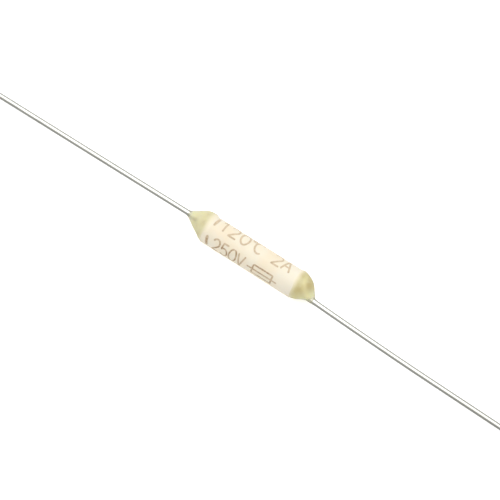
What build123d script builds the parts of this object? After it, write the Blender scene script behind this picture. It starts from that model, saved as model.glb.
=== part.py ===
from build123d import *
from typing import NamedTuple
import math
import os

# Thermal fuse of the fusible-alloy kind: a ceramic tube, two tinned wire leads, and between their
# heads a rod of low-melting alloy in a bead of flux. Both ends of the tube are sealed with epoxy.
# Millimetres. The origin is the middle of the tube on its axis, +X runs along the tube towards the
# right lead, +Z is up. The fuse lies on a flat surface, on the tube's side and on its two lead tips.
# "Across" is a place along Y and "up" a place along Z, both from the tube's axis.

# Tube
tube_outer_diameter = 3.0
tube_bore = 2.0
tube_length = 10.4
tube_edge_rounding = 0.1

# Leads
lead_diameter = 0.55
lead_free_length = 38.0  # along X, from the seal's tip to the lead's end
head_thickness = 0.3
head_clearance = 0.4  # between the rim of a head and the bore
inner_bend_depth = 1.1  # the first bend's distance inside the tube's end
inner_bend_radius = 5.0
exit_bend_depth = 0.45  # the second bend's distance inside the seal's tip
exit_bend_radius = 4.0
free_bend_radius = 150.0
free_bend_drop_share = 0.97  # of the drop that a straight run to the surface would have there
left_exit_across = 0.305
left_exit_up = -0.10
left_bend_distance = 14.6  # along X, from the seal's tip to the faint bend in the free lead
left_bend_across = 0.29
left_tip_across = 0.35
right_exit_across = -0.56
right_exit_up = -0.15
right_bend_distance = 11.0
right_bend_across = -0.915
right_tip_across = -1.19

# Alloy and flux
element_diameter = 0.7
element_length = 4.0
flux_clearance = 0.15  # between the bead and the bore
flux_overhang = 0.45  # past the outer face of each head

# Epoxy seals. Each has a profile of two powers, the bulge near the rim and the draw towards the
# lead, and moves over from the rim's centre to the lead's between two shares of its length.
plug_clearance = 0.45  # the air gap between the plug in the bore and the end of the bead
lap_root = 0.05  # how far inside the tube's surface the resin's skin starts
seal_foot = 0.04  # thickness of the resin round the lead at the seal's tip
left_seal_length = 2.55
left_lap = 0.35  # how far back over the tube the resin's skin starts
left_rim_growth = 0.04  # the rim's radius over the tube's
left_rim_across = 0.11
left_rim_up = 0.05
left_bulge = 1.5
left_draw = 1.3
left_lean_start = 0.0
left_lean_end = 0.55
right_seal_length = 2.5
right_lap = 0.15
right_rim_growth = -0.03
right_rim_across = 0.0
right_rim_up = 0.0
right_bulge = 1.7
right_draw = 1.25
right_lean_start = 0.45
right_lean_end = 1.0
seal_steps = 8  # how many stretches a seal's profile is drawn in

tube_radius = tube_outer_diameter / 2
bore_radius = tube_bore / 2
tube_half = tube_length / 2
lead_radius = lead_diameter / 2
head_radius = bore_radius - head_clearance
flux_radius = bore_radius - flux_clearance
element_half = element_length / 2
flux_reach = element_half + head_thickness + flux_overhang
surface_height = -tube_radius


class End(NamedTuple):
    """What differs between the fuse's two ends. Places are (across, up)."""

    side: int  # -1 at the left end, 1 at the right
    exit_place: tuple
    bend_distance: float
    bend_across: float
    tip_across: float
    seal_length: float
    lap: float
    rim_radius: float
    rim_place: tuple
    bulge: float
    draw: float
    lean_start: float
    lean_end: float


LEFT_END = End(
    side=-1,
    exit_place=(left_exit_across, left_exit_up),
    bend_distance=left_bend_distance,
    bend_across=left_bend_across,
    tip_across=left_tip_across,
    seal_length=left_seal_length,
    lap=left_lap,
    rim_radius=tube_radius + left_rim_growth,
    rim_place=(left_rim_across, left_rim_up),
    bulge=left_bulge,
    draw=left_draw,
    lean_start=left_lean_start,
    lean_end=left_lean_end,
)
RIGHT_END = End(
    side=1,
    exit_place=(right_exit_across, right_exit_up),
    bend_distance=right_bend_distance,
    bend_across=right_bend_across,
    tip_across=right_tip_across,
    seal_length=right_seal_length,
    lap=right_lap,
    rim_radius=tube_radius + right_rim_growth,
    rim_place=(right_rim_across, right_rim_up),
    bulge=right_bulge,
    draw=right_draw,
    lean_start=right_lean_start,
    lean_end=right_lean_end,
)


def bar_along_x(radius, start, end):
    """A round bar on the tube's axis, from x = start to x = end."""
    return Pos((start + end) / 2, 0, 0) * Rot(0, 90, 0) * Cylinder(radius, abs(end - start))


def blend(start, end, share):
    """The value this share of the way from start to end."""
    return start + (end - start) * share


def ease(share):
    """Runs from 0 to 1 with a level start and end."""
    held = min(max(share, 0.0), 1.0)
    return held * held * (3 - 2 * held)


def tip_height(exit_up):
    """Height of a lead's centre at its end, where its underside touches the surface."""
    drop = exit_up - surface_height - lead_radius
    slope = math.atan2(drop, lead_free_length)
    return surface_height + lead_radius * math.cos(slope)


def lead_route(end):
    """The corners of a lead's line, from the inner face of its head to its free end."""
    across, up = end.exit_place
    seal_tip = tube_half + end.seal_length
    end_up = tip_height(up)
    straight_drop = (end_up - up) * end.bend_distance / lead_free_length
    bend_up = up + straight_drop * free_bend_drop_share
    # the run outside the seal carries on inwards, in line, to the bend near the seal's tip
    inwards = -exit_bend_depth / end.bend_distance
    exit_across = blend(across, end.bend_across, inwards)
    exit_up = blend(up, bend_up, inwards)
    return [
        (end.side * element_half, 0, 0),
        (end.side * (tube_half - inner_bend_depth), 0, 0),
        (end.side * (seal_tip - exit_bend_depth), exit_across, exit_up),
        (end.side * (seal_tip + end.bend_distance), end.bend_across, bend_up),
        (end.side * (seal_tip + lead_free_length), end.tip_across, end_up),
    ]


def make_tube():
    """The ceramic tube, its four end edges slightly rounded."""
    body = bar_along_x(tube_radius, -tube_half, tube_half)
    body -= bar_along_x(bore_radius, -tube_half, tube_half)
    return fillet(body.edges().filter_by(GeomType.CIRCLE), tube_edge_rounding)


def make_lead(end):
    """A round wire along its route, with an upset head at its inner end."""
    radii = [inner_bend_radius, exit_bend_radius, free_bend_radius]
    path = FilletPolyline(*lead_route(end), radius=radii)
    start = Plane(origin=path @ 0, z_dir=path % 0)
    wire = sweep(start * Circle(lead_radius), path=path)
    inner_face = end.side * element_half
    head = bar_along_x(head_radius, inner_face, inner_face + end.side * head_thickness)
    return head + wire


def make_element():
    """The rod of fusible alloy between the two heads."""
    return bar_along_x(element_diameter / 2, -element_half, element_half)


def make_flux(element, left_lead, right_lead):
    """The bead of flux round the alloy and both heads."""
    end_radius = (flux_radius + lead_radius) / 2
    left_end = (-flux_reach, end_radius)
    right_end = (flux_reach, end_radius)
    upper = ThreePointArc(left_end, (0, flux_radius), right_end)
    sides = Polyline(right_end, (flux_reach, 0), (-flux_reach, 0), left_end)
    bead = revolve(make_face(upper + sides), axis=Axis.X)
    return bead - element - left_lead - right_lead


def seal_radius(end, share):
    """Radius of a seal at a share of its length: full at the rim, drawn in to a foot on the lead."""
    foot = lead_radius + seal_foot
    return blend(foot, end.rim_radius, (1 - share**end.bulge) ** end.draw)


def seal_section(end, distance, place, radius):
    """A round section of a seal, this far outside the tube's end."""
    origin = (end.side * (tube_half + distance), *place)
    return Plane(origin=origin, z_dir=(end.side, 0, 0)) * Circle(radius)


def make_seal(end, lead, tube):
    """One epoxy seal: a plug in the bore, and outside it a cone or dome that leans to its lead."""
    sections = [seal_section(end, -end.lap, (0, 0), tube_radius - lap_root)]
    for step in range(seal_steps + 1):
        share = step / seal_steps
        lean = ease((share - end.lean_start) / (end.lean_end - end.lean_start))
        across = blend(end.rim_place[0], end.exit_place[0], lean)
        up = blend(end.rim_place[1], end.exit_place[1], lean)
        radius = seal_radius(end, share)
        sections.append(seal_section(end, share * end.seal_length, (across, up), radius))
    plug = bar_along_x(bore_radius, end.side * (flux_reach + plug_clearance), end.side * tube_half)
    return loft(sections) + plug - tube - lead


def write(name, solid):
    """Writes one node's STEP file."""
    solid.label = name
    export_step(solid, os.path.join("parts", name + ".step"))


def main():
    """Builds every piece and writes it."""
    os.makedirs("parts", exist_ok=True)
    tube = make_tube()
    left_lead = make_lead(LEFT_END)
    right_lead = make_lead(RIGHT_END)
    element = make_element()
    write("ceramic_tube", tube)
    write("left_lead", left_lead)
    write("right_lead", right_lead)
    write("fusible_element", element)
    write("flux_coating", make_flux(element, left_lead, right_lead))
    write("left_seal", make_seal(LEFT_END, left_lead, tube))
    write("right_seal", make_seal(RIGHT_END, right_lead, tube))


if __name__ == "__main__":
    main()
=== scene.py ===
"""Looks of an axial-lead thermal fuse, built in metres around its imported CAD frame.

A cream ceramic tube lies along X. Cast resin closes both of its ends round two tinned leads,
a brown rating is printed along the tube, and a rod of low-melting alloy in flux is sealed inside.
"""

import logging
import math
from dataclasses import dataclass, field
from enum import Enum
from typing import Any, Callable, Iterable, Mapping, Sequence

import bmesh
import bpy
from bpy.types import ID, Material, Mesh, Node, NodeSocket, NodeTree, Object
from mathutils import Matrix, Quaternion, Vector


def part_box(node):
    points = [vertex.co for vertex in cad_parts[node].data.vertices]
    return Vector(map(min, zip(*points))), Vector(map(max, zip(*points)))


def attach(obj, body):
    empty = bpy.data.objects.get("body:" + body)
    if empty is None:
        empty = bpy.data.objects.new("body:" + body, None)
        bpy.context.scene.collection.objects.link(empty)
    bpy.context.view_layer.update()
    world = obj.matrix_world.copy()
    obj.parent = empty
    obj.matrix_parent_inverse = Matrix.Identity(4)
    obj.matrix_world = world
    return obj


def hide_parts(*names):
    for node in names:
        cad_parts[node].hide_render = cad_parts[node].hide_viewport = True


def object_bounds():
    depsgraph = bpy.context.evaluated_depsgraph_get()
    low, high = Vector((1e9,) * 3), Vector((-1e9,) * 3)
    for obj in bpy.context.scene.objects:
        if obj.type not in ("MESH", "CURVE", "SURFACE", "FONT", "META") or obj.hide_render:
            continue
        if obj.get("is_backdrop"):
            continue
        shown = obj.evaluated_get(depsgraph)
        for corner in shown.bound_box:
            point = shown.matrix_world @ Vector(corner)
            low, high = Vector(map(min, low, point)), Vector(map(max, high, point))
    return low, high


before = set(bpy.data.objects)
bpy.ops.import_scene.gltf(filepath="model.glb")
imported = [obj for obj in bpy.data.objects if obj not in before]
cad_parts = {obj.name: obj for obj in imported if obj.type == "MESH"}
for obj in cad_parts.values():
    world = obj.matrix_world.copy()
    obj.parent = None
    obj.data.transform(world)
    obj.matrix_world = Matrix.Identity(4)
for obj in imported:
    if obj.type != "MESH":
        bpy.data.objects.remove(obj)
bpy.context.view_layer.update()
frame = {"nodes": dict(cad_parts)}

LOG = logging.getLogger("thermal_fuse")
MM = 0.001
MERGE = 1e-8
BODY = "root"
ARC_STEP = 12.0
GLYPH_WIDTH = 0.62
MARKS = ("free", "relief", "edge", "film")

NUMBER = "NodeSocketFloat"
WHOLE = "NodeSocketInt"
PLACE = "NodeSocketVector"

Colour = tuple[float, float, float]
Point = tuple[float, float, float]
Stroke = list[tuple[float, float]]


class Slot(Enum):
    """Material slot names, logged with the new pieces."""

    CERAMIC = "ceramic"
    EPOXY = "epoxy"
    WIRE = "tinned_wire"
    INK = "marking_ink"


class End(Enum):
    """The two ends of the fuse, as the sign of X there."""

    LEFT = -1
    RIGHT = 1

    @property
    def word(self) -> str:
        """The end's name in node and piece names."""
        return self.name.lower()


# ---- node graphs


def applied(operation: str) -> Callable[["Term", Any], "Term"]:
    """Make the method behind an arithmetic sign from a Math operation."""
    return lambda term, other: term.math(operation, other)


class Term:
    """One value of a node graph, with arithmetic that adds Math nodes."""

    def __init__(self, graph: "Graph", socket: NodeSocket) -> None:
        """Keep the graph and the output socket that carries the value."""
        self.graph = graph
        self.socket = socket

    def math(self, operation: str, *others: Any) -> "Term":
        """Apply a Math node.

        Args:
            operation: The Math node's operation.
            others: The node's second and third values.

        Returns:
            The node's result.
        """
        node = self.graph.node("ShaderNodeMath", operation=operation)
        for index, value in enumerate((self, *others)):
            self.graph.feed(node.inputs[index], value)
        return Term(self.graph, node.outputs[0])

    def __rsub__(self, other: Any) -> "Term":
        """Difference with a number on the left."""
        return (self * -1.0) + other

    __add__ = __radd__ = applied("ADD")
    __mul__ = __rmul__ = applied("MULTIPLY")
    __sub__ = applied("SUBTRACT")
    __truediv__ = applied("DIVIDE")
    __mod__ = applied("MODULO")
    __pow__ = applied("POWER")

    def ramp(self, start: Any, end: Any, low: Any = 0.0, high: Any = 1.0) -> "Term":
        """Ease from low at the start to high at the end, and hold both beyond."""
        ends = {"From_Min": start, "From_Max": end, "To_Min": low, "To_Max": high}
        return self.graph.out("ShaderNodeMapRange", interpolation_type="SMOOTHSTEP", Value=self, **ends)

    def parts(self) -> tuple["Term", ...]:
        """Split a vector into its X, Y and Z."""
        node = self.graph.node("ShaderNodeSeparateXYZ", Vector=self)
        return tuple(Term(self.graph, socket) for socket in node.outputs)


class Graph:
    """A node tree under construction."""

    def __init__(self, tree: NodeTree) -> None:
        """Start on a tree, which may be empty."""
        self.tree = tree

    def feed(self, socket: NodeSocket, value: Any) -> None:
        """Give an input socket its value.

        Args:
            socket: The input.
            value: A Term to link, or a plain value to set.
        """
        if isinstance(value, Term):
            self.tree.links.new(value.socket, socket)
        else:
            socket.default_value = value

    def used(self, sockets: Iterable[NodeSocket], name: str | None = None) -> NodeSocket:
        """The first socket in use, of those with the name if there is one."""
        return next(s for s in sockets if s.enabled and name in (None, s.name))

    def node(self, kind: str, **values: Any) -> Node:
        """Add a node.

        Args:
            kind: The node's type.
            values: Its properties in lower case, then its inputs with a capital and _ for a space.

        Returns:
            The node.
        """
        made = self.tree.nodes.new(kind)
        for name, value in values.items():
            if name.islower():
                setattr(made, name, value)
            else:
                self.feed(self.used(made.inputs, name.replace("_", " ")), value)
        return made

    def out(self, kind: str, output: str | None = None, **values: Any) -> Term:
        """Add a node, written as for node, and take its named output or the first in use."""
        return Term(self, self.used(self.node(kind, **values).outputs, output))

    def vector(self, x: Any, y: Any, z: Any) -> Term:
        """Join three values into a vector."""
        return self.out("ShaderNodeCombineXYZ", X=x, Y=y, Z=z)

    def stretched(self, place: Term, share: float) -> Term:
        """Scale a place along X, where a small share draws a pattern out long."""
        return self.out("ShaderNodeMapping", Vector=place, Scale=(share, 1.0, 1.0))

    def noise(self, place: Term, scale: float, detail: float, seed: Any, roughness: float = 0.5) -> Term:
        """Sample seeded noise from 0 to 1, with scale in features per metre."""
        inputs = {"W": seed, "Scale": scale, "Detail": detail, "Roughness": roughness}
        return self.out("ShaderNodeTexNoise", noise_dimensions="4D", Vector=place, **inputs)

    def cells(self, place: Term, scale: float) -> Term:
        """Distance from a place to the nearest of scattered points, in spacings."""
        return self.out("ShaderNodeTexVoronoi", "Distance", Vector=place, Scale=scale)

    def tint(self, share: Any, low: Any, high: Any) -> Term:
        """Blend two colours, each a Term or three numbers, by the share of the second."""
        first, second = (c if isinstance(c, Term) else (*c, 1.0) for c in (low, high))
        return self.out("ShaderNodeMix", data_type="RGBA", Factor=share, A=first, B=second)

    def bump(self, height: Term, depth: float) -> Term:
        """Turn a height from 0 to 1 into a bumped normal, with 1 as deep as depth, in metres."""
        return self.out("ShaderNodeBump", Height=height, Distance=depth, Strength=1.0)


class Surface(Graph):
    """A new material's graph, with the place on the object to paint by."""

    def __init__(self, name: str) -> None:
        """Make the material."""
        self.material = bpy.data.materials.new(name)
        self.material.use_nodes = True
        super().__init__(self.material.node_tree)
        self.place = self.out("ShaderNodeTexCoord", "Object")

    def carried(self, name: str) -> Term:
        """Read a value that the piece carries as an attribute."""
        return self.out("ShaderNodeAttribute", "Fac", attribute_name=name)

    def dress(self, **values: Any) -> Material:
        """Set the shader's inputs.

        Args:
            values: Terms or plain values by input name, with _ for a space.

        Returns:
            The finished material.
        """
        shader = self.tree.nodes["Principled BSDF"]
        for name, value in values.items():
            self.feed(shader.inputs[name.replace("_", " ")], value)
        return self.material


class Growth:
    """A Geometry Nodes tree with named inputs that turns a drawn source into a piece."""

    def __init__(self, name: str, inputs: Mapping[str, Sequence[str]]) -> None:
        """Make the tree's sockets.

        Args:
            name: The tree's name.
            inputs: The inputs' names by socket type, besides the geometry and its material.
        """
        self.tree = bpy.data.node_groups.new(name, "GeometryNodeTree")
        self.graph = Graph(self.tree)
        self.identifiers: dict[str, str] = {}
        ends = self.tree.interface
        ends.new_socket("Geometry", in_out="OUTPUT", socket_type="NodeSocketGeometry")
        ends.new_socket("Geometry", in_out="INPUT", socket_type="NodeSocketGeometry")
        for kind, labels in {**inputs, "NodeSocketMaterial": ("Material",)}.items():
            for label in labels:
                socket = ends.new_socket(label, in_out="INPUT", socket_type=kind)
                self.identifiers[label] = socket.identifier
        self.source = self.tree.nodes.new("NodeGroupInput")

    def __getitem__(self, name: str) -> Term:
        """One of the tree's inputs."""
        return Term(self.graph, self.source.outputs[name])

    def sizes(self, owner: Any) -> dict[str, Any]:
        """The owner's fields that have the names of inputs."""
        fields = {label: label.lower().replace(" ", "_") for label in self.identifiers}
        return {label: getattr(owner, name) for label, name in fields.items() if hasattr(owner, name)}

    def kept(self, shape: Term, name: str, value: Term, domain: str = "POINT") -> Term:
        """Store a value on the shape's points, or another domain, for its material to read."""
        values = {"domain": domain, "Geometry": shape, "Name": name, "Value": value}
        return self.graph.out("GeometryNodeStoreNamedAttribute", data_type="FLOAT", **values)

    def resampled(self) -> tuple[Term, Term, Term]:
        """Lay even points along the source curve.

        Returns:
            The curve, the length up to each point and the length left after it.
        """
        inputs = {"Curve": self["Geometry"], "Length": self["Spacing"]}
        line = self.graph.out("GeometryNodeResampleCurve", mode="LENGTH", **inputs)
        travelled = self.graph.out("GeometryNodeSplineParameter", "Length")
        whole = self.graph.out("GeometryNodeSplineLength", "Length")
        return line, travelled, whole - travelled

    def swept(self, line: Term, sides: Any, radius: Term) -> Term:
        """Sweep a circle along a curve.

        Args:
            line: The curve.
            sides: The circle's number of sides.
            radius: Its radius at each point.

        Returns:
            The closed skin.
        """
        circle = self.graph.out("GeometryNodeCurvePrimitiveCircle", Resolution=sides, Radius=1.0)
        inputs = {"Curve": line, "Profile_Curve": circle, "Scale": radius, "Fill_Caps": True}
        return self.graph.out("GeometryNodeCurveToMesh", **inputs)

    def close(self, shape: Term) -> None:
        """Weld, smooth, realize and dress the shape, and end the tree with it.

        Args:
            shape: The finished geometry.
        """
        graph = self.graph
        shape = graph.out("GeometryNodeMergeByDistance", Geometry=shape, Distance=MERGE)
        shape = graph.out("GeometryNodeSetShadeSmooth", Geometry=shape, Shade_Smooth=True)
        shape = graph.out("GeometryNodeRealizeInstances", Geometry=shape)
        shape = graph.out("GeometryNodeSetMaterial", Geometry=shape, Material=self["Material"])
        end = self.tree.nodes.new("NodeGroupOutput")
        self.tree.links.new(shape.socket, end.inputs[0])

    def grow(
        self, name: str, drawn: Object, values: Mapping[str, Any], sharp_angle: float | None = None
    ) -> Object:
        """Run the tree on a drawn source and keep its result as a plain mesh.

        Args:
            name: The piece's name.
            drawn: The source object, which is used up.
            values: The tree's inputs by name.
            sharp_angle: From how many degrees an edge stays sharp, or None for no sharp edge.

        Returns:
            The piece, at the origin.
        """
        modifier = drawn.modifiers.new("growth", "NODES")
        modifier.node_group = self.tree
        for label, value in values.items():
            modifier[self.identifiers[label]] = value
        scene_state = bpy.context.evaluated_depsgraph_get()
        grown = drawn.evaluated_get(scene_state)
        mesh = bpy.data.meshes.new_from_object(
            grown, preserve_all_data_layers=True, depsgraph=scene_state
        )
        drawn.modifiers.remove(modifier)
        bpy.data.objects.remove(drawn)
        piece = placed(name, mesh)
        if sharp_angle is not None:
            mesh.set_sharp_from_angle(angle=math.radians(sharp_angle))
        return piece


# ---- shared helpers


def shown(name: str, data: ID) -> Object:
    """Put data into the scene as an object at the origin.

    Args:
        name: The object's name.
        data: Its mesh, curve, light or camera.

    Returns:
        The object.
    """
    made = bpy.data.objects.new(name, data)
    bpy.context.scene.collection.objects.link(made)
    return made


def placed(name: str, mesh: Mesh) -> Object:
    """Turn a mesh's faces outward and show it at the origin.

    Args:
        name: The object's name.
        mesh: Its mesh, in the frame's coordinates.

    Returns:
        The object.
    """
    shell = bmesh.new()
    shell.from_mesh(mesh)
    bmesh.ops.recalc_face_normals(shell, faces=shell.faces)
    shell.to_mesh(mesh)
    shell.free()
    mesh.name = name
    return shown(name, mesh)


def drawn_line(points: Sequence[Point], marks: Mapping[str, Sequence[float]]) -> Object:
    """Draw an open line of vertices.

    Args:
        points: The line's points in order, in metres.
        marks: Values by attribute name, one for each point.

    Returns:
        A mesh object that holds the line.
    """
    mesh = bpy.data.meshes.new("line")
    mesh.from_pydata(points, [(i, i + 1) for i in range(len(points) - 1)], [])
    for name, values in marks.items():
        layer = mesh.attributes.new(name, "FLOAT", "POINT")
        layer.data.foreach_set("value", list(values))
    return shown("line", mesh)


def drawn_curve(kind: str, lines: Sequence[Sequence[Point]]) -> Object:
    """Draw open lines as one curve.

    Args:
        kind: POLY for straight steps between the points, NURBS for a smooth route past them.
        lines: Each line's points, in metres.

    Returns:
        A curve object that holds them.
    """
    curve = bpy.data.curves.new("lines", "CURVE")
    curve.dimensions = "3D"
    curve.resolution_u = 24
    for line in lines:
        spline = curve.splines.new(kind)
        spline.points.add(len(line) - 1)
        for point, place in zip(spline.points, line):
            point.co = (*place, 1.0)
        spline.order_u = 3
        spline.use_endpoint_u = True
    return shown("lines", curve)


def hand_over(piece: Object, slot: Slot, *nodes: str) -> None:
    """Parent a finished piece to the body, hide the CAD nodes that it stands for, and log it.

    Args:
        piece: The piece.
        slot: The slot that the piece stands for, which is only logged.
        nodes: The CAD nodes that it stands for.
    """
    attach(piece, BODY)
    if nodes:
        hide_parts(*nodes)
    LOG.info("%s: %d faces, slot %s", piece.name, len(piece.data.polygons), slot.value)


# ---- finishes


@dataclass(frozen=True)
class CeramicFinish:
    """Fired alumina: cream, finely grained and barely translucent."""

    name: str = "cream_ceramic"
    body: Colour = (0.82, 0.765, 0.635)
    warm: Colour = (0.82, 0.725, 0.56)
    speck: Colour = (0.62, 0.52, 0.38)
    clouds: float = 420.0
    grains: float = 14000.0
    swells: float = 2600.0
    pits: float = 5200.0
    relief: float = 0.006 * MM
    depth: float = 0.18 * MM

    def shade(self, paint: Surface) -> Term:
        """Return the clouded ground colour."""
        cloud = paint.noise(paint.place, self.clouds, 3.0, 1.0)
        return paint.tint(cloud.ramp(0.38, 0.68), self.body, self.warm)

    def build(self) -> Material:
        """Mix the finish.

        Returns:
            The material.
        """
        paint = Surface(self.name)
        grain = paint.noise(paint.place, self.grains, 3.0, 2.0, 0.6)
        swell = paint.noise(paint.place, self.swells, 2.0, 3.0)
        pits = paint.cells(paint.place, self.pits).ramp(0.05, 0.16, 1.0, 0.0)
        specks = pits * grain.ramp(0.5, 0.62, 0.0, 0.35)
        height = grain * 0.5 + swell * 0.5 - pits * 0.4
        return paint.dress(
            Base_Color=paint.tint(specks, self.shade(paint), self.speck),
            Roughness=grain.ramp(0.3, 0.7, 0.42, 0.6),
            Normal=paint.bump(height, self.relief),
            Subsurface_Weight=0.25,
            Subsurface_Radius=(1.0, 0.8, 0.55),
            Subsurface_Scale=self.depth,
            Specular_IOR_Level=0.45,
        )


@dataclass(frozen=True)
class WireFinish:
    """Tinned copper wire: satin, drawn along its length, copper where it was cut."""

    name: str = "tinned_copper_wire"
    tin: Colour = (0.82, 0.825, 0.765)
    dull: Colour = (0.69, 0.695, 0.64)
    # painted shade: a dimmer tin for the right lead's far end, standing in for its darker reflection
    far_end_shade: Colour = (0.625, 0.63, 0.575)
    copper: Colour = (0.72, 0.36, 0.22)
    draw_lines: float = 26000.0
    blooms: float = 1500.0
    tears: float = 30000.0
    far_end_shade_span: tuple[float, float] = (8 * MM, 40 * MM)
    relief: float = 0.0006 * MM

    def build(self) -> Material:
        """Mix the finish.

        Returns:
            The material.
        """
        paint = Surface(self.name)
        lines = paint.noise(paint.stretched(paint.place, 0.03), self.draw_lines, 2.0, 6.0, 0.6)
        bloom = paint.noise(paint.stretched(paint.place, 0.35), self.blooms, 3.0, 7.0)
        torn = paint.noise(paint.place, self.tears, 2.0, 8.0)
        cut = paint.carried("cut")
        along, _, _ = paint.place.parts()
        colour = paint.tint(bloom.ramp(0.45, 0.75), self.tin, self.dull)
        # painted shade: the tin darkens from 8 mm to 40 mm along +X, so the right lead's far end looks
        # dimmer
        colour = paint.tint(along.ramp(*self.far_end_shade_span), colour, self.far_end_shade)
        colour = paint.tint(cut * torn.ramp(0.3, 0.6, 0.8, 1.0), colour, self.copper)
        return paint.dress(
            Base_Color=colour,
            Metallic=1.0,
            Roughness=bloom.ramp(0.3, 0.75, 0.17, 0.27) + cut * 0.2,
            Normal=paint.bump(lines, self.relief),
        )


@dataclass(frozen=True)
class ResinFinish:
    """Cast epoxy: khaki and clouded, thinner and paler over the rim and the lead, with painted shade and
    highlight along its crease.
    """

    name: str = "seal_resin"
    deep: Colour = (0.55, 0.46, 0.205)
    pale: Colour = (0.635, 0.575, 0.315)
    thin: Colour = (0.745, 0.735, 0.46)
    film: Colour = (0.84, 0.77, 0.61)
    # crease colour and its share: painted light along the crease, a pale painted highlight by default, a
    # dark painted shade where a seal sets its own
    crease_shade_and_highlight: Colour = (0.80, 0.74, 0.42)
    crease_shade_and_highlight_share: float = 0.45
    over_wire: Colour = (0.85, 0.84, 0.66)
    seed: float = 0.0
    clouds: float = 620.0
    wisps: float = 2600.0
    relief: float = 0.012 * MM
    depth: float = 0.45 * MM

    def build(self) -> Material:
        """Mix the finish.

        Returns:
            The material.
        """
        paint = Surface(self.name)
        film = paint.carried("film")
        cover = paint.carried("cover") / MM
        cloud = paint.noise(paint.place, self.clouds, 2.0, self.seed + 4.0)
        wisp = paint.noise(paint.place, self.wisps, 3.0, self.seed + 5.0, 0.6)
        mixed = cloud * 0.75 + wisp * 0.25
        colour = paint.tint(mixed.ramp(0.38, 0.62), self.deep, self.pale)
        colour = paint.tint(cover.ramp(0.2, 1.15, 0.85, 0.0), colour, self.thin)
        ground = paint.tint(film.ramp(0.0, 0.3), CeramicFinish().shade(paint), self.film)
        colour = paint.tint(film.ramp(0.05, 0.9), ground, colour)
        # painted shade and highlight: the crease's strength tints the resin toward the crease colour
        colour = paint.tint(paint.carried("crease") * self.crease_shade_and_highlight_share, colour, self.crease_shade_and_highlight)
        colour = paint.tint(cover.ramp(0.05, 0.32, 1.0, 0.0), colour, self.over_wire)
        colour = paint.tint(cover.ramp(0.01, 0.05, 1.0, 0.0), colour, WireFinish().tin)
        bare = cover.ramp(0.04, 0.32, 1.0, 0.0)
        return paint.dress(
            Base_Color=colour,
            Metallic=bare,
            Roughness=wisp.ramp(0.3, 0.7, 0.3, 0.44) - bare * 0.14,
            Normal=paint.bump(wisp, self.relief),
            Subsurface_Weight=film.ramp(0.45, 1.0, 0.0, 0.6),
            Subsurface_Radius=(1.0, 0.85, 0.35),
            Subsurface_Scale=self.depth,
            IOR=1.52,
            Coat_Weight=film.ramp(0.3, 1.0, 0.05, 0.35) * (1.0 - bare),
            Coat_Roughness=0.12,
        )


@dataclass(frozen=True)
class InkFinish:
    """Fired brown ink, thin at the edges of a stroke and worn in patches."""

    name: str = "marking_brown_ink"
    full: Colour = (0.34, 0.22, 0.115)
    thin: Colour = (0.70, 0.575, 0.41)
    wear_scale: float = 5200.0
    patches: float = 1100.0
    press_span: tuple[float, float] = (-1.2 * MM, 0.9 * MM)
    relief: float = 0.002 * MM

    def build(self) -> Material:
        """Mix the finish.

        Returns:
            The material.
        """
        paint = Surface(self.name)
        wear = paint.noise(paint.place, self.wear_scale, 3.0, 9.0, 0.65)
        patch = paint.noise(paint.place, self.patches, 1.0, 10.0)
        _, side, _ = paint.place.parts()
        dense = paint.carried("core").ramp(0.2, 0.95) * wear.ramp(0.3, 0.6, 0.15, 1.0)
        # the ink thins towards +Y: full density at -1.2 mm across the tube, 0.4 of it at +0.9 mm
        dense = dense * patch.ramp(0.3, 0.62, 0.45, 1.0) * side.ramp(*self.press_span, 1.0, 0.4)
        return paint.dress(
            Base_Color=paint.tint(dense, self.thin, self.full),
            Roughness=0.62,
            Normal=paint.bump(wear, self.relief),
        )


@dataclass(frozen=True)
class AlloyFinish:
    """Cast low-melting alloy, dull and grained."""

    name: str = "fusible_alloy_metal"
    bright: Colour = (0.62, 0.62, 0.60)
    dark: Colour = (0.44, 0.44, 0.45)
    grains: float = 9000.0
    plates: float = 5000.0
    relief: float = 0.004 * MM

    def build(self) -> Material:
        """Mix the finish.

        Returns:
            The material.
        """
        paint = Surface(self.name)
        grain = paint.noise(paint.place, self.grains, 3.0, 11.0)
        return paint.dress(
            Base_Color=paint.tint(grain, self.dark, self.bright),
            Metallic=1.0,
            Roughness=paint.cells(paint.place, self.plates).ramp(0.1, 0.8, 0.32, 0.5),
            Normal=paint.bump(grain, self.relief),
        )


@dataclass(frozen=True)
class FluxFinish:
    """Set flux: amber rosin with fine bubbles."""

    name: str = "amber_flux"
    amber: Colour = (0.42, 0.20, 0.045)
    light: Colour = (0.62, 0.38, 0.13)
    clouds: float = 1200.0
    bubbles: float = 7000.0
    relief: float = 0.01 * MM
    depth: float = 0.4 * MM

    def build(self) -> Material:
        """Mix the finish.

        Returns:
            The material.
        """
        paint = Surface(self.name)
        cloud = paint.noise(paint.place, self.clouds, 3.0, 12.0)
        bubbles = paint.cells(paint.place, self.bubbles).ramp(0.06, 0.2, 1.0, 0.0)
        return paint.dress(
            Base_Color=paint.tint(cloud.ramp(0.3, 0.7), self.amber, self.light),
            Roughness=cloud.ramp(0.3, 0.7, 0.15, 0.3),
            Normal=paint.bump(cloud - bubbles * 0.3, self.relief),
            Subsurface_Weight=0.7,
            Subsurface_Radius=(1.0, 0.5, 0.15),
            Subsurface_Scale=self.depth,
        )


@dataclass(frozen=True)
class PaperFinish:
    """Matt white card, lit a little from below as on a light table."""

    name: str = "studio_card"
    glow: float = 0.44
    glow_tint: tuple[float, float, float, float] = (1.0, 1.0, 0.995, 1.0)
    white: Colour = (0.90, 0.90, 0.895)
    shade: Colour = (0.88, 0.88, 0.875)
    fibres: float = 60.0

    def build(self) -> Material:
        """Mix the finish.

        Returns:
            The material.
        """
        paint = Surface(self.name)
        fibre = paint.noise(paint.place, self.fibres, 2.0, 13.0)
        return paint.dress(
            Base_Color=paint.tint(fibre, self.white, self.shade),
            Roughness=0.9,
            Specular_IOR_Level=0.1,
            Emission_Color=self.glow_tint,
            Emission_Strength=self.glow,
        )


# ---- turned bodies


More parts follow.
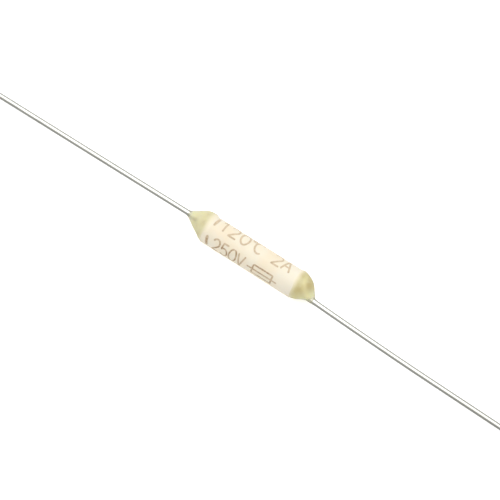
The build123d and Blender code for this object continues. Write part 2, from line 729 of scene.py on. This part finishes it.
class Lathe(Growth):
    """Turns an outline about the X axis, with a centre that moves over along it."""

    places: Sequence[str] = ("Rim Place", "Exit Place", "Wire Place")
    numbers: Sequence[str] = (
        "Rim Height", "Lap", "Lean Start", "Lean End", "Lean Power", "Flatness", "Unevenness",
        "Edge Wander", "Wire Start", "Wire End", "Wire Radius", "Crease Turn", "Crease Drift",
        "Crease Width", "Crease Depth", "Crease Start", "Crease End", "Seed",
    )
    lump_scale: float = 900.0
    wander_scale: float = 1.6
    wander_seed: float = 20.0
    sink: float = 0.03 * MM
    crease_onset: float = 0.4

    def __init__(self) -> None:
        """Build the tree."""
        super().__init__("lathe", {WHOLE: ("Sides",), NUMBER: self.numbers, PLACE: self.places})
        self.build()

    def sample(self, value: Term, row: Term, kind: str = "FLOAT") -> Term:
        """Look a value up at one of the outline's points."""
        inputs = {"Geometry": self["Geometry"], "Value": value, "Index": row}
        return self.graph.out("GeometryNodeSampleIndex", data_type=kind, **inputs)

    def mark(self, name: str, row: Term) -> Term:
        """One of the outline's marks at one of its points."""
        value = self.graph.out("GeometryNodeInputNamedAttribute", data_type="FLOAT", Name=name)
        return self.sample(value, row)

    def edge_shift(self, height: Term, across: Term, up: Term) -> Term:
        """Work out how far the film's edge moves along the tube.

        Args:
            height: How high the rim of the film stands over the tube.
            across: The turn's cosine.
            up: The turn's sine.

        Returns:
            The shift: a wandering edge, or the whole lap where the rim would sink into the tube.
        """
        sunk = height.ramp(0.0, self.sink, 1.0, 0.0)
        ring = self.graph.vector(across, up, 0.0)
        noise = self.graph.noise(ring, self.wander_scale, 2.0, self["Seed"] + self.wander_seed)
        wander = (noise - 0.5) * self["Edge Wander"]
        return self["Lap"] * sunk + wander * (1.0 - sunk)

    def groove(self, x: Term, turn: Term) -> Term:
        """Shape the crease that winds along the resin.

        Args:
            x: The place along the axis.
            turn: The place round it.

        Returns:
            The crease's strength, from 0 to 1.
        """
        along = x.ramp(self["Crease Start"], self["Crease End"])
        bottom = self["Crease Turn"] + along * self["Crease Drift"]
        off = (turn - bottom).math("COSINE").math("ARCCOSINE")
        near = (off / self["Crease Width"]).ramp(0.0, 1.0, 1.0, 0.0)
        return near * along.ramp(0.0, self.crease_onset)

    def wire_cover(self, x: Term, y: Term, z: Term) -> Term:
        """Measure how deep the wire lies under the skin.

        Args:
            x: The skin's place along the axis.
            y: Its place across.
            z: Its place up.

        Returns:
            The depth in metres.
        """
        start = self["Wire Start"]
        along = (x - start) / (self["Wire End"] - start)
        along = along.math("MAXIMUM", 0.0).math("MINIMUM", 1.0)
        _, across, up = self["Wire Place"].parts()
        side, rise = y - across * along, z - up * along
        return (side * side + rise * rise).math("SQRT") - self["Wire Radius"]

    def build(self) -> None:
        """Lay a grid of rows round the outline and wrap it on the drifting centre."""
        graph = self.graph
        outline = {"component": "MESH", "Geometry": self["Geometry"]}
        rows = graph.out("GeometryNodeAttributeDomainSize", "Point Count", **outline)
        counts = {"Vertices_X": self["Sides"] + 1, "Vertices_Y": rows}
        grid = graph.out("GeometryNodeMeshGrid", Size_X=1.0, Size_Y=1.0, **counts)
        index = graph.out("GeometryNodeInputIndex")
        row = (index % rows).math("ROUND")
        turn = ((index + 0.5) / rows).math("FLOOR") / self["Sides"] * math.tau
        across, up = turn.math("COSINE"), turn.math("SINE")
        drawn = graph.out("GeometryNodeInputPosition")
        x, radius, _ = self.sample(drawn, row, "FLOAT_VECTOR").parts()
        free, relief, edge, film = (self.mark(name, row) for name in MARKS)

        _, rim_across, rim_up = self["Rim Place"].parts()
        height = self["Rim Height"] + rim_across * across + rim_up * up
        x = x + self.edge_shift(height, across, up) * edge

        lump = graph.vector(x, radius * across, radius * up)
        lumps = graph.noise(lump, self.lump_scale, 2.0, self["Seed"]) - 0.5
        groove = self.groove(x, turn)
        bumps = lumps * self["Unevenness"] - groove * self["Crease Depth"]
        radius = radius + bumps * relief

        lean = x.ramp(self["Lean Start"], self["Lean End"]) ** self["Lean Power"]
        flat = 1.0 - self["Flatness"] * 4.0 * lean * (1.0 - lean)
        _, exit_across, exit_up = self["Exit Place"].parts()
        centre_across = (rim_across + (exit_across - rim_across) * lean) * free
        centre_up = (rim_up + (exit_up - rim_up) * lean) * free
        y = centre_across + radius * across
        z = centre_up + radius * up * flat
        place = graph.vector(x, y, z)
        shape = graph.out("GeometryNodeSetPosition", Geometry=grid, Position=place)
        shape = self.kept(shape, "film", film)
        shape = self.kept(shape, "cover", self.wire_cover(x, y, z))
        # the crease's strength is also kept for the resin's painted crease shade and highlight
        self.close(self.kept(shape, "crease", groove))


@dataclass
class CeramicTube:
    """The tube: outer wall, bore and softly broken rims."""

    finish: CeramicFinish = CeramicFinish()
    skin: float = 0.0035 * MM
    edge_rounding: float = 0.1 * MM
    bore_radius: float = 1.0 * MM
    sides: int = 160
    edge_steps: int = 6
    spans: int = 26
    sharp_angle: float = 50.0
    half_length: float = field(init=False)
    radius: float = field(init=False)

    def __post_init__(self) -> None:
        """Take the tube's length and radius from the frame."""
        low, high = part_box("ceramic_tube")
        self.half_length = (high.x - low.x) / 2
        self.radius = high.y - self.skin

    def outline(self) -> list[Point]:
        """Draw the wall's section.

        Returns:
            A closed ring of points, along X and out from the axis.
        """
        half, edge, radius = self.half_length, self.edge_rounding, self.radius
        angles = [math.pi / 2 * i / self.edge_steps for i in range(self.edge_steps + 1)]
        rim = [(half - edge * (1 - math.cos(a)), radius - edge * (1 - math.sin(a))) for a in angles]
        wall = [(half - edge) * (2 * i / self.spans - 1) for i in range(1, self.spans)]
        ring = [(-half, self.bore_radius)]
        ring += [(-x, height) for x, height in rim]
        ring += [(x, radius) for x in wall]
        ring += reversed(rim)
        ring += [(half, self.bore_radius)]
        ring += [(x, self.bore_radius) for x in reversed(wall)]
        return [(x, height, 0.0) for x, height in (*ring, ring[0])]

    def build(self, lathe: Lathe) -> None:
        """Turn the tube.

        Args:
            lathe: The tree that turns outlines.
        """
        points = self.outline()
        line = drawn_line(points, {name: [0.0] * len(points) for name in MARKS})
        values = {
            "Sides": self.sides,
            "Lean End": 1.0,
            "Lean Power": 1.0,
            "Wire End": 1.0,
            "Crease Width": 1.0,
            "Crease End": 1.0,
            "Material": self.finish.build(),
        }
        piece = lathe.grow("tube_visual", line, values, self.sharp_angle)
        hand_over(piece, Slot.CERAMIC, "ceramic_tube")


@dataclass
class ResinSeal:
    """One resin seal: a plug in the bore, a lap over the rim, and a cone drawn out on the lead."""

    end: End
    finish: ResinFinish
    lap: float
    rim_radius: float
    draw: float
    cone: float
    rim_place: Point
    exit_place: Point
    lean: tuple[float, float, float]
    flatness: float
    wire_start: float
    wire_end: float
    wire_place: Point
    seed: float
    crease_span: tuple[float, float]
    crease_turn: float
    crease_drift: float
    crease_width: float
    crease_depth: float
    bulge: float = 1.6
    run_out: float = 0.20 * MM
    bore_gap: float = 0.002 * MM
    bore_radius: float = 1.0 * MM
    wire_radius: float = 0.275 * MM
    foot: float = 0.03 * MM
    foot_length: float = 0.3 * MM
    smooth_height: float = 0.3 * MM
    feather: float = 0.0015 * MM
    rim_film: float = 0.42
    film_rise: float = 0.5 * MM
    sides: int = 128
    steps: int = 52
    lap_steps: int = 8
    unevenness: float = 0.03 * MM
    edge_wander: float = 0.22 * MM
    sharp_angle: float = 60.0

    @property
    def node(self) -> str:
        """The seal's name in the frame."""
        return f"{self.end.word}_seal"

    def span(self) -> tuple[float, float]:
        """How far from the fuse's middle the seal's plug starts and its tip ends."""
        ends = [abs(corner.x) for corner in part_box(self.node)]
        return min(ends), max(ends)

    def outline(self, tube: CeramicTube) -> tuple[list[Point], dict[str, list[float]]]:
        """Draw the seal's section from the plug's middle to the tip's.

        Args:
            tube: The tube that the seal closes.

        Returns:
            The points, and their values by name.
        """
        plug, tip = self.span()
        sign, rim, wall = self.end.value, tube.half_length, tube.radius
        bore = self.bore_radius - self.bore_gap
        rows: list[tuple[float, ...]] = []

        def add(x: float, radius: float, *marks: float) -> None:
            """Add a point with its values, in the order of MARKS."""
            rows.append((sign * x, radius, *marks))

        add(plug, 0.0, 0.0, 0.0, 0.0, 1.0)
        add(plug, bore, 0.0, 0.0, 0.0, 1.0)
        add(rim, bore, 0.0, 0.0, 0.0, 1.0)
        add(rim, wall - tube.edge_rounding, 0.0, 0.0, 0.0, 0.0)
        add(rim - tube.edge_rounding, wall - self.feather, 0.0, 0.0, 0.0, 0.0)
        add(rim - self.lap, wall - self.feather, 0.0, 0.0, 1.0, 0.0)
        for i in range(1, self.lap_steps + 1):
            share = i / self.lap_steps
            rise = share * share * (3 - 2 * share)
            height = wall + (self.rim_radius - wall) * rise
            add(rim - self.lap * (1 - share), height, rise, rise, 1 - share, self.rim_film * share)
        cone = (tip - rim) * self.cone
        drawn = self.rim_radius - self.wire_radius
        foot_start = tip - self.foot_length
        end = tip + self.run_out
        for i in range(1, self.steps + 1):
            x = rim + (end - rim) * i / self.steps
            down = min(1.0, (x - rim) / cone)
            height = drawn * (1 - down**self.bulge) ** self.draw
            run = max(0.0, (x - foot_start) / (end - foot_start))
            foot = self.foot * (1 - run * run)
            radius = self.wire_radius + math.hypot(height, foot) - self.feather * run
            relief = min(1.0, height / self.smooth_height)
            film = self.rim_film + (1 - self.rim_film) * min(1.0, (x - rim) / self.film_rise)
            add(x, radius, 1.0, relief, 0.0, film)
        add(end, 0.0, 1.0, 0.0, 0.0, 1.0)
        points = [(x, radius, 0.0) for x, radius, *_ in rows]
        return points, {name: [row[i] for row in rows] for i, name in enumerate(MARKS, 2)}

    def build(self, lathe: Lathe, tube: CeramicTube) -> None:
        """Cast the seal.

        Args:
            lathe: The tree that turns outlines.
            tube: The tube that the seal closes.
        """
        _, tip = self.span()
        sign, rim = self.end.value, tube.half_length

        def beyond(share: float) -> float:
            """A place past the rim, as a share of the way to the tip."""
            return sign * (rim + (tip - rim) * share)

        values = {
            **lathe.sizes(self),
            "Rim Height": self.rim_radius - tube.radius,
            "Lap": sign * self.lap,
            "Lean Start": beyond(self.lean[0]),
            "Lean End": beyond(self.lean[1]),
            "Lean Power": self.lean[2],
            "Edge Wander": -sign * self.edge_wander,
            "Wire Start": sign * self.wire_start,
            "Wire End": beyond(self.wire_end),
            "Crease Start": beyond(self.crease_span[0]),
            "Crease End": beyond(self.crease_span[1]),
            "Material": self.finish.build(),
        }
        line = drawn_line(*self.outline(tube))
        piece = lathe.grow(f"{self.node}_visual", line, values, self.sharp_angle)
        hand_over(piece, Slot.EPOXY, self.node)


# ---- leads


class WirePath(Growth):
    """Sweeps a round wire along a route, with a head at its start and a nipped far end."""

    side_corners: float = 4.5

    def __init__(self) -> None:
        """Build the tree."""
        numbers = ("Radius", "Head Radius", "Head Thickness", "Nip Length", "Nip Share", "Spacing")
        super().__init__("wire", {NUMBER: numbers, WHOLE: ("Sides",)})
        route, travelled, left = self.resampled()
        radius = self["Radius"]
        nip = 1.0 - left.ramp(0.0, self["Nip Length"], self["Nip Share"], 0.0)
        headed = travelled.math("LESS_THAN", self["Head Thickness"])
        scale = nip * radius + headed * (self["Head Radius"] - radius)
        shape = self.swept(route, self["Sides"], scale)
        corners = self.graph.out("GeometryNodeInputMeshFaceNeighbors", "Vertex Count")
        cut = corners.math("GREATER_THAN", self.side_corners)
        self.close(self.kept(shape, "cut", cut, "FACE"))


@dataclass
class Lead:
    """One tinned lead from its head inside the tube to its cut end."""

    end: End
    route: Sequence[Point]
    radius: float = 0.2745 * MM
    head_radius: float = 0.6 * MM
    head_thickness: float = 0.3 * MM
    nip_length: float = 0.3 * MM
    nip_share: float = 0.12
    spacing: float = 0.15 * MM
    sides: int = 32
    sharp_angle: float = 50.0

    def build(self, wire: WirePath, material: Material) -> None:
        """Sweep the lead.

        Args:
            wire: The tree that sweeps wires.
            material: The leads' shared material.
        """
        node = f"{self.end.word}_lead"
        route = drawn_curve("NURBS", [[(x * MM, y * MM, z * MM) for x, y, z in self.route]])
        values = {**wire.sizes(self), "Material": material}
        piece = wire.grow(f"{node}_visual", route, values, self.sharp_angle)
        hand_over(piece, Slot.WIRE, node)


# ---- marking


class InkStrokes(Growth):
    """Gives flat strokes a rounded width and wraps them on the tube."""

    sides: int = 10
    blot_scale: float = 3500.0
    bluntness: float = 1.02

    def __init__(self) -> None:
        """Build the tree."""
        numbers = ("Tube Radius", "Width", "Thickness", "Spacing", "Unevenness", "Seed")
        super().__init__("ink_strokes", {NUMBER: numbers})
        graph = self.graph
        line, travelled, left = self.resampled()
        half = self["Width"] * 0.5
        nearest = travelled.math("MINIMUM", left) / half
        short = (1.0 - nearest).math("MAXIMUM", 0.0)
        rounded = (self.bluntness - short * short).math("SQRT")
        place = graph.out("GeometryNodeInputPosition")
        blot = graph.noise(place, self.blot_scale, 2.0, self["Seed"]) - 0.5
        scale = half * rounded * (1.0 + blot * self["Unevenness"])
        shape = self.swept(line, self.sides, scale)
        x, round_way, height = graph.out("GeometryNodeInputPosition").parts()
        rise = height / half
        shape = self.kept(shape, "core", rise.math("MAXIMUM", 0.0))
        reach = self["Tube Radius"] + rise * self["Thickness"]
        angle = round_way / self["Tube Radius"]
        wrapped = graph.vector(x, reach * angle.math("SINE"), reach * angle.math("COSINE"))
        self.close(graph.out("GeometryNodeSetPosition", Geometry=shape, Position=wrapped))


def arc(middle: tuple[float, float], size: tuple[float, float], start: float, end: float) -> Stroke:
    """Draw part of an ellipse.

    Args:
        middle: Its centre.
        size: Its half width and half height.
        start: The first angle in degrees, from the right, turning left over the top.
        end: The last angle.

    Returns:
        The stroke.
    """
    steps = max(4, round(abs(end - start) / ARC_STEP))
    angles = [math.radians(start + (end - start) * i / steps) for i in range(steps + 1)]
    return [(middle[0] + size[0] * math.cos(a), middle[1] + size[1] * math.sin(a)) for a in angles]


def glyph(letter: str) -> list[Stroke]:
    """Draw a character of the marking in a box one high and GLYPH_WIDTH wide.

    Args:
        letter: The character.

    Returns:
        Its strokes.
    """
    drawings: dict[str, list[Stroke]] = {
        "0": [arc((0.31, 0.5), (0.31, 0.5), 90, 450)],
        "1": [[(0.04, 0.76), (0.30, 1.0), (0.30, 0.0)]],
        "2": [[*arc((0.30, 0.70), (0.29, 0.30), 165, -38), (0.02, 0.0), (0.62, 0.0)]],
        "5": [[(0.56, 1.0), (0.10, 1.0), (0.05, 0.54), *arc((0.28, 0.33), (0.31, 0.33), 130, -145)]],
        "A": [[(0.0, 0.0), (0.31, 1.0), (0.62, 0.0)], [(0.12, 0.36), (0.50, 0.36)]],
        "C": [arc((0.36, 0.5), (0.36, 0.5), 52, 308)],
        "V": [[(0.0, 1.0), (0.31, 0.0), (0.62, 1.0)]],
        "°": [arc((0.12, 0.88), (0.12, 0.12), 90, 450)],
        "|": [[(0.0, 0.0), (0.0, 1.0)]],
    }
    return drawings[letter]


@dataclass
class Row:
    """One printed row: characters at their own places, along the tube and round it."""

    name: str
    base: float
    height: float
    letters: Sequence[tuple[str, float, float]]
    width: float
    slant: float = 0.0
    drawn: Sequence[Stroke] = ()

    def strokes(self) -> list[list[Point]]:
        """Lay the row's strokes out flat.

        Returns:
            The strokes, in metres along the tube and round it.
        """
        flat: list[Stroke] = []
        for letter, start, wide in self.letters:
            flat += [
                [
                    (start + x * wide / GLYPH_WIDTH + y * self.slant, self.base + y * self.height)
                    for x, y in stroke
                ]
                for stroke in glyph(letter)
            ]
        return [[(x * MM, y * MM, 0.0) for x, y in stroke] for stroke in (*flat, *self.drawn)]


@dataclass
class Marking:
    """The rating printed along the tube: two rows, each after a short bar."""

    finish: InkFinish = InkFinish()
    thickness: float = 0.003 * MM
    spacing: float = 0.035 * MM
    unevenness: float = 0.5
    first_seed: float = 30.0

    def rows(self) -> list[Row]:
        """Say what is printed and where.

        Returns:
            The rows.
        """
        upper = [("1", -4.0, 0.86), ("2", -2.95, 0.9), ("0", -1.7, 0.9), ("°", -0.52, 0.9)]
        upper += [("C", -0.1, 0.9), ("2", 2.1, 0.9), ("A", 3.2, 0.92)]
        lower = [("2", -3.85, 0.78), ("5", -2.87, 0.78), ("0", -1.92, 0.78), ("V", -1.0, 0.78)]
        symbol = [
            [(0.15, -1.5), (3.65, -1.5)],
            [(0.8, -0.98), (3.0, -0.98), (3.0, -2.02), (0.8, -2.02), (0.8, -0.98)],
        ]
        return [
            Row("bar_one", 0.16, 1.2, [("|", -4.66, 0.62)], 0.30, slant=0.20),
            Row("bar_two", -2.2, 1.25, [("|", -4.42, 0.62)], 0.32, slant=-0.22),
            Row("rating_one", 0.09, 1.5, upper, 0.20),
            Row("rating_two", -2.28, 1.5, lower, 0.19),
            Row("fuse_symbol", 0.0, 1.0, [], 0.19, drawn=symbol),
        ]

    def build(self, tree: InkStrokes, tube: CeramicTube) -> None:
        """Print the rows.

        Args:
            tree: The tree that wraps strokes.
            tube: The tube that carries them.
        """
        material = self.finish.build()
        for number, row in enumerate(self.rows()):
            values = {
                **tree.sizes(self),
                "Tube Radius": tube.radius,
                "Width": row.width * MM,
                "Seed": self.first_seed + number,
                "Material": material,
            }
            lines = drawn_curve("POLY", row.strokes())
            hand_over(tree.grow(f"print_{row.name}", lines, values), Slot.INK)


# ---- inner pieces


@dataclass
class Core:
    """The sealed alloy rod and its flux, which keep their CAD shapes."""

    alloy: AlloyFinish = AlloyFinish()
    flux: FluxFinish = FluxFinish()

    def dress(self, nodes: Mapping[str, Object]) -> None:
        """Give both nodes their finishes.

        Args:
            nodes: The frame's nodes by name.
        """
        for name, finish in (("fusible_element", self.alloy), ("flux_coating", self.flux)):
            slots = nodes[name].data.materials
            slots.clear()
            slots.append(finish.build())
            LOG.info("%s: kept from the frame, dressed as %s", name, finish.name)


# ---- studio


@dataclass
class Studio:
    """Pale card under the fuse, a soft light from over its left shoulder, and the camera."""

    paper: PaperFinish = PaperFinish()
    floor_radius: float = 6.0
    floor_sides: int = 64
    camera_way: Point = (0.170, -0.256, 0.952)
    camera_right: Point = (0.833, 0.553, 0.0)
    camera_up: Point = (-0.526, 0.793, 0.307)
    aim_right: float = -0.22 * MM
    aim_up: float = 0.625 * MM
    lens: float = 300.0
    sensor: float = 36.0
    frame_width: float = 49.0 * MM
    near_share: float = 0.1
    far: float = 20.0
    key_power: float = 3.42
    key_tint: Colour = (1.0, 0.985, 0.96)
    key_size: tuple[float, float] = (1.2, 0.8)
    key_place: Point = (-0.31, 0.115, 0.395)
    sky_stops: Sequence[tuple[float, float]] = (
        (0.0, 0.41), (0.35, 0.49), (0.5, 0.60), (0.68, 0.95), (0.8, 1.15), (1.0, 1.15),
    )
    horizon: float = 0.03
    table: float = 0.8
    rear_span: tuple[float, float] = (-0.3, 0.6)
    belt_front: float = 0.36
    belt_back: float = 0.49
    belt_rise: tuple[float, float] = (-1.0, -0.8)
    belt_fall: tuple[float, float] = (0.15, 0.5)
    belt_shift: float = 0.3

    def lay_floor(self) -> None:
        """Lay the card where the fuse rests."""
        low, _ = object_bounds()
        card = bmesh.new()
        shape = {"radius": self.floor_radius, "segments": self.floor_sides}
        bmesh.ops.create_circle(card, cap_ends=True, **shape)
        mesh = bpy.data.meshes.new("floor")
        card.to_mesh(mesh)
        card.free()
        for vertex in mesh.vertices:
            vertex.co.z = low.z
        mesh.materials.append(self.paper.build())
        floor = shown("studio_floor", mesh)
        floor.visible_glossy = False
        floor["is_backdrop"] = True

    def hang_key(self) -> None:
        """Hang the key light, which faces straight down and stays out of the picture."""
        lamp = bpy.data.lights.new("key", "AREA")
        lamp.shape = "RECTANGLE"
        lamp.size, lamp.size_y = self.key_size
        lamp.energy = self.key_power
        lamp.color = self.key_tint
        key = shown("key_light", lamp)
        key.location = self.key_place
        key.visible_camera = False

    def paint_sky(self) -> None:
        """Paint the surroundings: a graded sky, a grey table, and a dim belt round the sides."""
        world = bpy.data.worlds.new("surroundings")
        world.use_nodes = True
        bpy.context.scene.world = world
        graph = Graph(world.node_tree)
        side, back, height = graph.out("ShaderNodeTexCoord", "Generated").parts()
        ramp = graph.node("ShaderNodeValToRGB", Fac=back * 0.5 + 0.5)
        stops = ramp.color_ramp.elements
        while len(stops) < len(self.sky_stops):
            stops.new(0.5)
        for stop, (place, level) in zip(stops, self.sky_stops):
            stop.position = place
            stop.color = (level, level, level, 1.0)
        sky = Term(graph, ramp.outputs["Color"])
        sky = graph.tint(height.ramp(-self.horizon, self.horizon), (self.table,) * 3, sky)
        watch_x, watch_y, watch_z = self.camera_way
        facing = side * watch_x + back * watch_y + height * watch_z
        rear = back.ramp(*self.rear_span)
        shift = rear * self.belt_shift
        start, end = self.belt_fall
        belt = facing.ramp(*self.belt_rise) * facing.ramp(shift + start, shift + end, 1.0, 0.0)
        dim = rear * (self.belt_back - self.belt_front) + self.belt_front
        light = graph.tint(belt, sky, graph.vector(dim, dim, dim))
        backdrop = world.node_tree.nodes["Background"]
        graph.feed(backdrop.inputs["Color"], light)

    def set_camera(self) -> None:
        """Place the camera and its view."""
        data = bpy.data.cameras.new("camera")
        data.lens = self.lens
        data.sensor_width = self.sensor
        distance = self.frame_width * self.lens / self.sensor
        data.clip_start = distance * self.near_share
        data.clip_end = self.far
        back = Vector(self.camera_way).normalized()
        low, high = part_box("ceramic_tube")
        aim = (low + high) / 2 + Vector(self.camera_right) * self.aim_right
        aim += Vector(self.camera_up) * self.aim_up
        turn: Quaternion = (-back).to_track_quat("-Z", "Y")
        camera = shown("camera", data)
        camera.location = aim + back * distance
        camera.rotation_mode = "QUATERNION"
        camera.rotation_quaternion = turn
        bpy.context.scene.camera = camera

    def build(self) -> None:
        """Set the studio up."""
        self.lay_floor()
        self.hang_key()
        self.paint_sky()
        self.set_camera()
        view = bpy.context.scene.view_settings
        view.view_transform = "Standard"
        view.look = "None"
        LOG.info("studio: floor, key light, surroundings and camera")


# ---- the fuse


def main() -> None:
    """Build the fuse, piece by piece, and its studio."""
    logging.basicConfig(level=logging.INFO, format="%(name)s %(message)s")
    Studio().build()

    lathe = Lathe()
    tube = CeramicTube()
    tube.build(lathe)

    left = ResinSeal(
        end=End.LEFT,
        finish=ResinFinish(
            name="left_seal_resin",
            deep=(0.575, 0.51, 0.285),
            pale=(0.67, 0.625, 0.375),
            thin=(0.735, 0.72, 0.49),
            film=(0.88, 0.805, 0.64),
            # painted shade: dark olive in the crease beside the lead
            crease_shade_and_highlight=(0.44, 0.41, 0.25),
            crease_shade_and_highlight_share=0.6,
            seed=1.0,
        ),
        lap=0.5 * MM,
        rim_radius=1.53 * MM,
        draw=1.28,
        cone=1.0,
        rim_place=(0.0, 0.115 * MM, 0.05 * MM),
        exit_place=(0.0, 0.304 * MM, -0.094 * MM),
        lean=(0.0, 0.38, 1.0),
        flatness=0.0,
        wire_start=4.1 * MM,
        wire_end=0.82,
        wire_place=(0.0, 0.304 * MM, -0.09 * MM),
        seed=1.0,
        crease_span=(0.25, 1.0),
        crease_turn=math.radians(112),
        crease_drift=math.radians(24),
        crease_width=math.radians(24),
        crease_depth=0.05 * MM,
    )
    right = ResinSeal(
        end=End.RIGHT,
        # keeps the pale default crease colour: a painted highlight along its ridge
        finish=ResinFinish(name="right_seal_resin", seed=7.0),
        lap=0.3 * MM,
        rim_radius=1.515 * MM,
        draw=1.1,
        cone=0.95,
        rim_place=(0.0, 0.065 * MM, 0.02 * MM),
        exit_place=(0.0, -0.526 * MM, -0.149 * MM),
        lean=(0.40, 1.0, 1.5),
        flatness=0.25,
        wire_start=-0.33 * MM,
        wire_end=1.0,
        wire_place=(0.0, -0.523 * MM, -0.146 * MM),
        seed=2.0,
        crease_span=(0.05, 0.65),
        crease_turn=math.radians(52),
        crease_drift=math.radians(75),
        crease_width=math.radians(42),
        crease_depth=-0.03 * MM,
    )
    for seal in (left, right):
        seal.build(lathe, tube)

    wire = WirePath()
    material = WireFinish().build()
    left_route = (
        (-2.0, 0.0, 0.0), (-4.1, 0.0, 0.0), (-6.3, 0.210, -0.060), (-7.3, 0.3055, -0.0871),
        (-8.6, 0.304, -0.1244), (-22.35, 0.29, -0.5193), (-45.745, 0.35, -1.2249),
    )
    right_route = (
        (2.0, 0.0, 0.0), (4.1, 0.0, 0.0), (5.4, -0.280, -0.0700), (6.3, -0.450, -0.1120),
        (7.36, -0.517, -0.1410), (11.94, -0.675, -0.2660), (18.7, -0.860, -0.4519),
        (24.9, -0.930, -0.6290), (45.695, -1.19, -1.2249),
    )
    for end, route in ((End.LEFT, left_route), (End.RIGHT, right_route)):
        Lead(end=end, route=route).build(wire, material)

    Marking().build(InkStrokes(), tube)
    Core().dress(frame["nodes"])


if __name__ == "__main__":
    main()
